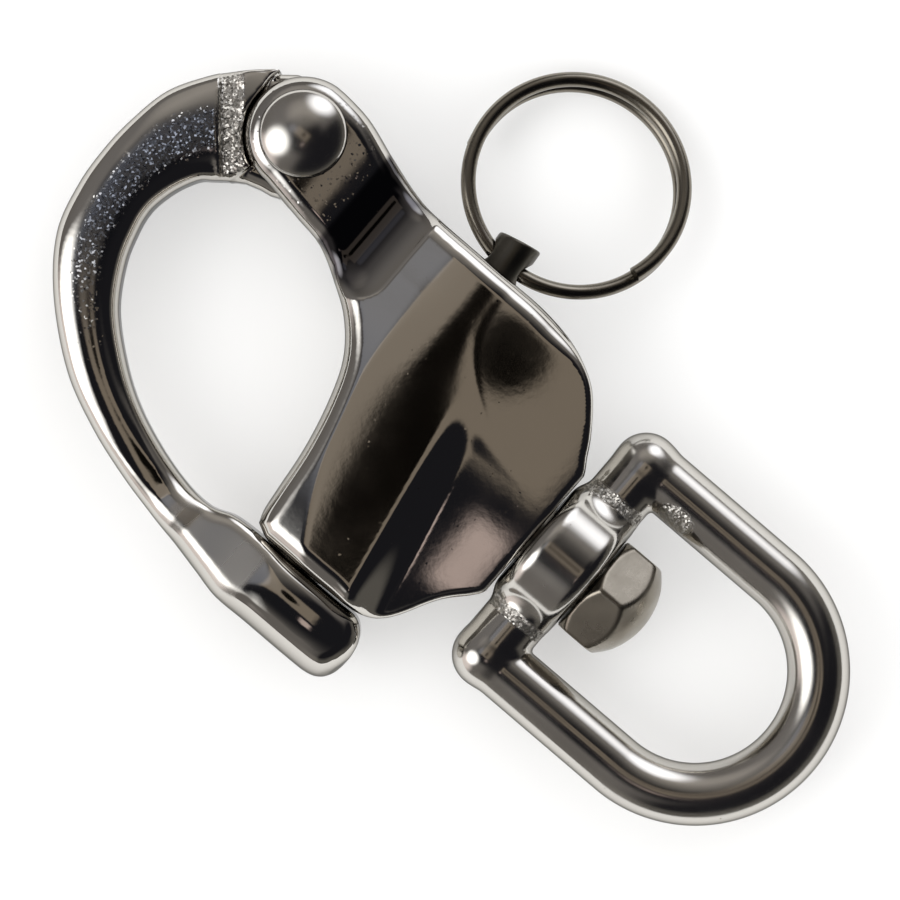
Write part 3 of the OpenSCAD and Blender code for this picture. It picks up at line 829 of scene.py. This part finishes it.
def on_plunger(at):
    """The plunger's own frame at a distance from the latch side, with Z along the plunger."""
    foot = Vector((PIN_FOOT[0], PIN_FOOT[1], 0)) * MM
    return (Matrix.Translation(foot) @ turned("Z", PIN_LEAN_DEG) @ turned("X", -90)
            @ Matrix.Translation((0, 0, at * MM)))


# Operators

class SHACKLE_OT_stage(Operator):
    """Makes the pale floor, the soft studio light and the camera above the shackle"""
    bl_idname = "shackle.stage"
    bl_label = "Stage"

    def execute(self, context):
        scene = context.scene
        scene.view_settings.view_transform = "Standard"
        floor_mesh = bpy.data.meshes.new("floor")
        low = CAD_BOX[0].z
        floor_mesh.from_pydata([(-1, -1, low), (1, -1, low), (1, 1, low), (-1, 1, low)], [], [(0, 1, 2, 3)])
        floor = new_object("floor", floor_mesh)
        floor_mesh.materials.append(self.floor_material(scene.shackle_finish.floor))
        self.room(scene)
        fill = self.lamp("soft_fill", way=(0.2, 0.1), rise=80, away=0.8, size=(2.4, 2.4), power=22.0)
        fill.visible_glossy = False
        self.camera(scene)
        return {"FINISHED"}

    def floor_material(self, colour):
        """White card: it shows near white to the camera and to the metal, and keeps a soft shadow."""
        material = bpy.data.materials.new("white_card")
        tree = empty_tree(material)
        path = add(tree, "ShaderNodeLightPath").outputs
        seen = maths(tree, "ADD", path["Is Camera Ray"], path["Is Glossy Ray"])
        shown = add(tree, "ShaderNodeMath", {"operation": "ADD", "use_clamp": True}, {
            0: seen, 1: path["Is Transmission Ray"]})
        glow, dimmed = 0.35, 0.33
        card = add(tree, "ShaderNodeBsdfDiffuse", None, {"Color": colour})
        white = add(tree, "ShaderNodeEmission", None, {"Color": (1, 1, 1, 1), "Strength": glow})
        veil = add(tree, "ShaderNodeMixShader", None, {0: dimmed, 1: card.outputs["BSDF"]})
        lit = add(tree, "ShaderNodeAddShader", None, {0: veil.outputs["Shader"], 1: white.outputs["Emission"]})
        both = add(tree, "ShaderNodeMixShader", None, {
            0: shown.outputs["Value"], 1: card.outputs["BSDF"], 2: lit.outputs["Shader"]})
        add(tree, "ShaderNodeOutputMaterial", None, {"Surface": both.outputs["Shader"]})
        return material

    def room(self, scene):
        """A dim room that the metal mirrors: walls, panels and a dark spot overhead, and windows to the sides."""
        world = bpy.data.worlds.new("room")
        scene.world = world
        tree = empty_tree(world)
        way = add(tree, "ShaderNodeTexCoord").outputs["Generated"]
        axes = add(tree, "ShaderNodeSeparateXYZ", None, {"Vector": way}).outputs

        def rise(value, start, end, low=0.0, high=1.0):
            return ramp(tree, value, start, end, low, high, "SMOOTHSTEP")

        def times(a, b):
            return maths(tree, "MULTIPLY", a, b)

        def lit(seen, code, amount):
            share = vector(tree, "SCALE", linear(code)[:3], Scale=amount)["Vector"]
            return vector(tree, "ADD", seen, share)["Vector"]

        wall = times(rise(axes["Z"], 0.93, 0.75), rise(axes["X"], 0.45, 0.15))
        seen = lit(linear("#1e1e22")[:3], "#6e6a66", wall)
        low_wall = times(rise(axes["Z"], 0.5, 0.2), rise(axes["X"], 0.0, 0.4))
        seen = lit(seen, "#5e5b55", low_wall)
        above = rise(axes["Z"], -0.1, 0.1)
        for (x0, x1), (y0, y1), soft, code in PANELS:
            wide = times(rise(axes["X"], x0 - soft, x0 + soft), rise(axes["X"], x1 + soft, x1 - soft))
            deep = times(rise(axes["Y"], y0 - soft, y0 + soft), rise(axes["Y"], y1 + soft, y1 - soft))
            seen = lit(seen, code, times(times(wide, deep), above))
        spot = vector(tree, "MULTIPLY", way, (SPOT_SCALE, SPOT_SCALE, 0))["Vector"]
        spot = rise(vector(tree, "LENGTH", spot)["Value"], 0.75, 1.25, 0.02, 1.0)
        seen = vector(tree, "SCALE", seen, Scale=spot)["Vector"]
        for flat, lean, core, fade, strength, code in WINDOWS:
            high = math.radians(lean)
            aim = Vector((flat[0], flat[1], 0)).normalized() * math.sin(high) + Vector((0, 0, math.cos(high)))
            facing = vector(tree, "DOT_PRODUCT", way, aim)["Value"]
            glow = rise(facing, math.cos(math.radians(fade)), math.cos(math.radians(core)), 0.0, strength)
            seen = lit(seen, code, glow)
        light = add(tree, "ShaderNodeBackground", None, {"Color": seen, "Strength": 1.0})
        add(tree, "ShaderNodeOutputWorld", None, {"Surface": light.outputs["Background"]})

    def lamp(self, name, way, rise, away, size, power):
        """A soft rectangular lamp that looks at the shackle from a direction and a height in degrees."""
        data = bpy.data.lights.new(name, "AREA")
        data.shape = "RECTANGLE"
        data.size, data.size_y = size
        data.energy = power
        lamp = new_object(name, data)
        flat = Vector((way[0], way[1], 0)).normalized() * math.cos(math.radians(rise))
        aim = (flat + Vector((0, 0, math.sin(math.radians(rise))))) * away
        lamp.location = aim + Vector((-30 * MM, 0, 0))
        lamp.rotation_euler = aim.to_track_quat("Z", "Y").to_euler()
        return lamp

    def camera(self, scene):
        """A camera straight above, turned so that the shackle lies as in the photograph."""
        data = bpy.data.cameras.new("camera")
        data.sensor_width = SENSOR
        data.lens = SENSOR * VIEW_HIGH / VIEW_WIDE
        data.clip_start = 0.01
        camera = new_object("camera", data)
        turn = math.atan2(VIEW_RIGHT[1], VIEW_RIGHT[0])
        stand = Vector((VIEW_AT[0], VIEW_AT[1], VIEW_HIGH)) * MM
        camera.matrix_world = Matrix.Translation(stand) @ Matrix.Rotation(turn, 4, "Z")
        scene.camera = camera


class SHACKLE_OT_body(Operator):
    """Makes the cast body with its fork, barrel and swivel face"""
    bl_idname = "shackle.body"
    bl_label = "Body"

    def execute(self, context):
        field = body_field(context.scene.shackle_sizes)
        points, faces = skin_of(field, low=(-66, -17.5, -7), high=(-18.5, 21, 7), step=0.24)
        x, y, z = points.T
        # Traces of cast skin, more of it on the fork, and painted shade that darkens the scoop's hollow
        skin = 0.02 + 0.18 * ease(-50.5, -52, x) * ease(4.3, 4.8, np.abs(z))
        oxide = (ease(SCOOP_X - 3.6, SCOOP_X - 3.0, x) * ease(SCOOP_X + 4.2, SCOOP_X + 1.2, x)
                 * ease(3.0, 3.6, np.abs(z)) * ease(5.4, 6.4, y))
        piece = new_piece("body_casting", points, faces, castings_material(context.scene.shackle_finish),
                          cast_skin=skin, oxide=oxide)
        fit(piece, "body", "body")
        return {"FINISHED"}


class SHACKLE_OT_hook(Operator):
    """Makes the cast hook with its tongue, arm and toe"""
    bl_idname = "shackle.hook"
    bl_label = "Hook"

    def execute(self, context):
        field, run = hook_field(context.scene.shackle_sizes)
        points, faces = skin_of(field, low=(-73.5, -24.5, -5.5), high=(-24, 20.5, 5.5), step=0.22)
        x, y, z = points.T
        station, share, (height, _, _) = hook_place(x, y, run)
        band, arm = cast_skin_on_hook(x, y, station, share)
        top = ease(0.55, 0.85, np.abs(z) / height)
        ground = top * ease(11.8, 12.6, station) * ease(-36.2, -37.0, x) * ease(0.85, 0.65, np.abs(share))
        piece = new_piece("hook_casting", points, faces, castings_material(context.scene.shackle_finish),
                          cast_skin=arm * top, ground=ground, grit=band * top)
        fit(piece, "hook", "hook")
        return {"FINISHED"}


class SHACKLE_OT_rivet(Operator):
    """Makes the hinge rivet with a domed head on each side"""
    bl_idname = "shackle.rivet"
    bl_label = "Hinge rivet"

    def execute(self, context):
        sizes = context.scene.shackle_sizes
        head, seat, high = sizes.rivet_head / MM, sizes.fork_half / MM, 2.0
        dome, brim = 6.2, head - 0.3
        bow = [math.asin(brim / dome) * k / 14 for k in range(15)]
        up = [(dome * math.sin(a), seat + high - dome + dome * math.cos(a)) for a in bow]
        rim = up[-1][1]
        up += [(brim + 0.16, rim - 0.16), (brim + 0.26, rim - 0.34), (head, rim - 0.55), (head, seat + 0.06),
               (head - 0.06, seat), (RIVET_R, seat)]
        profile = up + [(r, -h) for r, h in reversed(up)]
        points, faces = lathe(profile, 128, RIVET)
        finish = context.scene.shackle_finish
        material = cast_steel_material(
            "stainless_steel_rivet_peened", finish.cast_steel, finish.cast_skin, low=0.14, high=0.2)
        fit(new_piece("rivet", points, faces, material), "hinge_rivet", "body")
        return {"FINISHED"}


class SHACKLE_OT_plunger(Operator):
    """Makes the plunger with its nose and its cross hole"""
    bl_idname = "shackle.plunger"
    bl_label = "Plunger"

    def execute(self, context):
        scene = context.scene
        field = plunger_field(scene.shackle_sizes)
        points, faces = skin_of(field, low=(-41, -21.2, -3.4), high=(-31, 20.8, 3.4), step=0.14)
        material = drawn_steel_material("stainless_bar_drawn_dark", scene.shackle_finish.pin_steel,
                                        low=0.28, high=0.42, line=0.18, depth=0.01)
        fit(new_piece("plunger", points, faces, material), "plunger_pin", "plunger")
        return {"FINISHED"}


class SHACKLE_OT_wound(Operator):
    """Makes the wound pieces: the split pull ring and the plunger's spring"""
    bl_idname = "shackle.wound"
    bl_label = "Pull ring and spring"

    def execute(self, context):
        sizes, finish = context.scene.shackle_sizes, context.scene.shackle_finish
        wire = drawn_steel_material("stainless_wire_drawn", finish.wire_steel,
                                    low=0.16, high=0.28, line=0.12, depth=0.004)
        # The ring droops and hangs a little askew, with the middle of its wire in the plunger's cross hole
        pitch, turns, droop, skew = 1.86 * MM, sizes.ring_turns, -14, 6
        place = (on_plunger(RING_AT) @ turned("X", droop) @ turned("Y", skew)
                 @ Matrix.Translation((0, 0, sizes.ring_radius)) @ turned("X", 90)
                 @ turned("Z", 180 * turns - 90) @ Matrix.Translation((0, 0, -pitch * turns / 2)))
        ring = wound_piece("split_ring", wire, place, coil_radius=sizes.ring_radius, turns=turns,
                           height=pitch * turns, wire_radius=sizes.ring_wire, steps_in_a_turn=160, sides=24)
        fit(ring, "pull_ring", "pull_ring")
        # The spring stands between the nose and the guide
        room = 0.38
        low, high = (NOSE_MID + NOSE_HALF + room) * MM, (GUIDE_AT - room) * MM
        spring = wound_piece("plunger_coil", wire, on_plunger(0) @ Matrix.Translation((0, 0, low)),
                             coil_radius=SPRING_R * MM, turns=float(sizes.spring_turns), height=high - low,
                             wire_radius=SPRING_WIRE * MM, steps_in_a_turn=40, sides=12)
        fit(spring, "plunger_spring", "body")
        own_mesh(spring)
        return {"FINISHED"}


class SHACKLE_OT_bolt(Operator):
    """Makes the swivel bolt with its domed hexagon head"""
    bl_idname = "shackle.bolt"
    bl_label = "Swivel bolt"

    def execute(self, context):
        scene = context.scene
        field = bolt_field(scene.shackle_sizes)
        points, faces = skin_of(field, low=(-31.2, -6.2, -6.6), high=(-5.6, 6.2, 6.6), step=0.15)
        material = drawn_steel_material("stainless_hexagon_bar_turned", scene.shackle_finish.bolt_steel,
                                        low=0.24, high=0.36, line=0.25, depth=0.008)
        fit(new_piece("hexagon_bolt", points, faces, material), "swivel_bolt", "body")
        return {"FINISHED"}


class SHACKLE_OT_eye(Operator):
    """Makes the swivel eye with its hub"""
    bl_idname = "shackle.eye"
    bl_label = "Swivel eye"

    def execute(self, context):
        field = eye_field(context.scene.shackle_sizes)
        points, faces = skin_of(field, low=(-20.2, -15.2, -7), high=(15.2, 15.2, 7), step=0.22)
        finish = context.scene.shackle_finish
        material = cast_steel_material(
            "stainless_steel_cast_tumbled", finish.cast_steel, finish.cast_skin, low=0.12, high=0.2)
        piece = new_piece("eye_casting", points, faces, material, grit=0.8 * cast_skin_on_eye(*points.T))
        fit(piece, "swivel_eye", "eye")
        return {"FINISHED"}


class SHACKLE_PT_pieces(Panel):
    """Lists the shackle's pieces, sizes and finishes"""
    bl_idname = "SHACKLE_PT_pieces"
    bl_label = "Snap shackle"
    bl_space_type = "VIEW_3D"
    bl_region_type = "UI"
    bl_category = "Shackle"

    def draw(self, context):
        for operator in OPERATORS:
            self.layout.operator(operator.bl_idname)
        for group in (context.scene.shackle_sizes, context.scene.shackle_finish):
            box = self.layout.box()
            for name in group.__annotations__:
                box.prop(group, name)


OPERATORS = (SHACKLE_OT_stage, SHACKLE_OT_body, SHACKLE_OT_hook, SHACKLE_OT_rivet, SHACKLE_OT_plunger,
             SHACKLE_OT_wound, SHACKLE_OT_bolt, SHACKLE_OT_eye)
CLASSES = (ShackleSizes, ShackleFinish) + OPERATORS + (SHACKLE_PT_pieces,)


def register():
    for cls in CLASSES:
        bpy.utils.register_class(cls)
    bpy.types.Scene.shackle_sizes = PointerProperty(type=ShackleSizes)
    bpy.types.Scene.shackle_finish = PointerProperty(type=ShackleFinish)


def unregister():
    del bpy.types.Scene.shackle_finish
    del bpy.types.Scene.shackle_sizes
    for cls in reversed(CLASSES):
        bpy.utils.unregister_class(cls)


def main():
    register()
    for operator in OPERATORS:
        group, name = operator.bl_idname.split(".")
        getattr(getattr(bpy.ops, group), name)()


if __name__ == "__main__":
    main()
